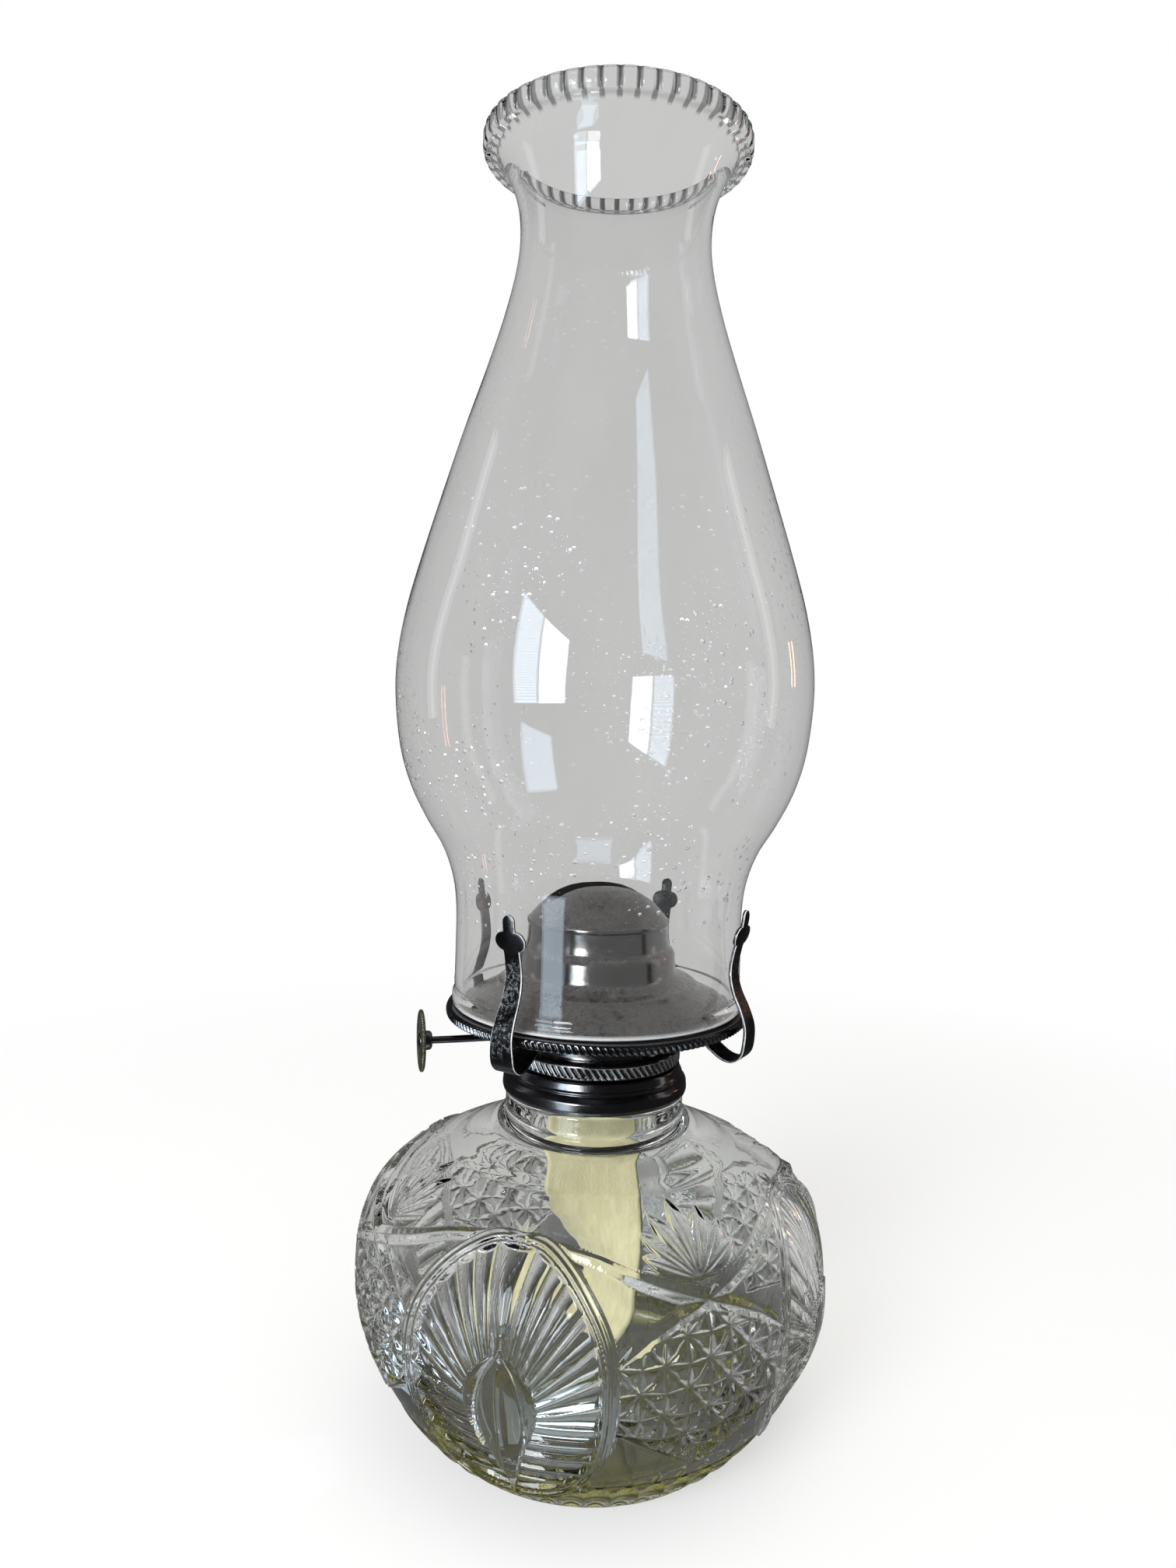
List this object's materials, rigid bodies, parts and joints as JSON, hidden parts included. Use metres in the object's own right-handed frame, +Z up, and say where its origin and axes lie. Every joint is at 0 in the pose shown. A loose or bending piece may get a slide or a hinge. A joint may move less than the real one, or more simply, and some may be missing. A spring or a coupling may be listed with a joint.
{
  "type": "oil lamp",
  "caption": "Clear pressed-glass table oil lamp with a flat-wick burner, four sprung chimney prongs and a tall bulged chimney with a beaded top.",
  "frame": {"origin": "middle of the font's underside, on the surface the lamp stands on", "axes": "+Z up along the lamp's axis; the thumb wheel of the wick raiser points to -X; the prongs stand at 45 degrees to X and Y"},
  "size_m": [0.1232, 0.1232, 0.33],
  "materials": {
    "font_glass": "clear pressed glass, slightly grey, crisp relief on the outside",
    "chimney_glass": "clear blown glass with a few specks and dried droplets",
    "lamp_oil": null,
    "cotton": "pale yellow woven cotton",
    "dusty_metal": "dull, dusty brown-grey blackened metal",
    "knob_metal": "worn olive-dark metal",
    "prong_metal": "black plated spring metal, pitted, with bright worn edges",
    "black_nickel": "polished black nickel with sharp highlights"
  },
  "bodies": {
    "font": {"font_glass": "font_glass", "lamp_oil": "lamp_oil", "font_collar": "black_nickel"},
    "burner": {"burner_base": "black_nickel", "burner_neck": "black_nickel", "shaft_bearing": "black_nickel", "gallery": "black_nickel", "deflector_dome": "dusty_metal", "wick_tube": "dusty_metal", "spur_housing": "black_nickel"},
    "raiser": {"wick_shaft": "black_nickel", "spur_wheel_1": "black_nickel", "spur_wheel_2": "black_nickel", "spur_wheel_3": "black_nickel", "spur_wheel_4": "black_nickel", "thumb_wheel": "knob_metal", "thumb_wheel_hub": "black_nickel"},
    "wick": {"flat_wick": "cotton"},
    "chimney": {"chimney_glass": "chimney_glass"},
    "prong_back_right": {"prong_back_right": "prong_metal", "prong_rivet_back_right": "black_nickel"},
    "prong_back_left": {"prong_back_left": "prong_metal", "prong_rivet_back_left": "black_nickel"},
    "prong_front_left": {"prong_front_left": "prong_metal", "prong_rivet_front_left": "black_nickel"},
    "prong_front_right": {"prong_front_right": "prong_metal", "prong_rivet_front_right": "black_nickel"}
  },
  "joints": [
    {"name": "burner_lift", "type": "slide", "parent": "font", "child": "burner", "axis": [0, 0, 1], "range_m": [0, 0.11]},
    {"name": "chimney_lift", "type": "slide", "parent": "burner", "child": "chimney", "axis": [0, 0, 1], "range_m": [0, 0.075]},
    {"name": "wick_knob_turn", "type": "hinge", "parent": "burner", "child": "raiser", "pos_m": [0, -0.0062, 0.1033], "axis": [1, 0, 0], "range_deg": [-60, 150]},
    {"name": "wick_raise", "type": "slide", "parent": "burner", "child": "wick", "axis": [0, 0, 1], "range_m": [-0.005, 0.0125]},
    {"name": "prong_back_right_flex", "type": "hinge", "parent": "burner", "child": "prong_back_right", "pos_m": [0.02086, 0.02086, 0.10615], "axis": [-0.7071, 0.7071, 0], "range_deg": [0, 7], "stiffness_Nm_per_rad": 0.3},
    {"name": "prong_back_left_flex", "type": "hinge", "parent": "burner", "child": "prong_back_left", "pos_m": [-0.02086, 0.02086, 0.10615], "axis": [-0.7071, -0.7071, 0], "range_deg": [0, 7], "stiffness_Nm_per_rad": 0.3},
    {"name": "prong_front_left_flex", "type": "hinge", "parent": "burner", "child": "prong_front_left", "pos_m": [-0.02086, -0.02086, 0.10615], "axis": [0.7071, -0.7071, 0], "range_deg": [0, 7], "stiffness_Nm_per_rad": 0.3},
    {"name": "prong_front_right_flex", "type": "hinge", "parent": "burner", "child": "prong_front_right", "pos_m": [0.02086, -0.02086, 0.10615], "axis": [0.7071, 0.7071, 0], "range_deg": [0, 7], "stiffness_Nm_per_rad": 0.3}
  ],
  "couplings": [
    {"joint": "wick_knob_turn", "follows": "wick_raise", "rad_per_m": 208.33}
  ]
}
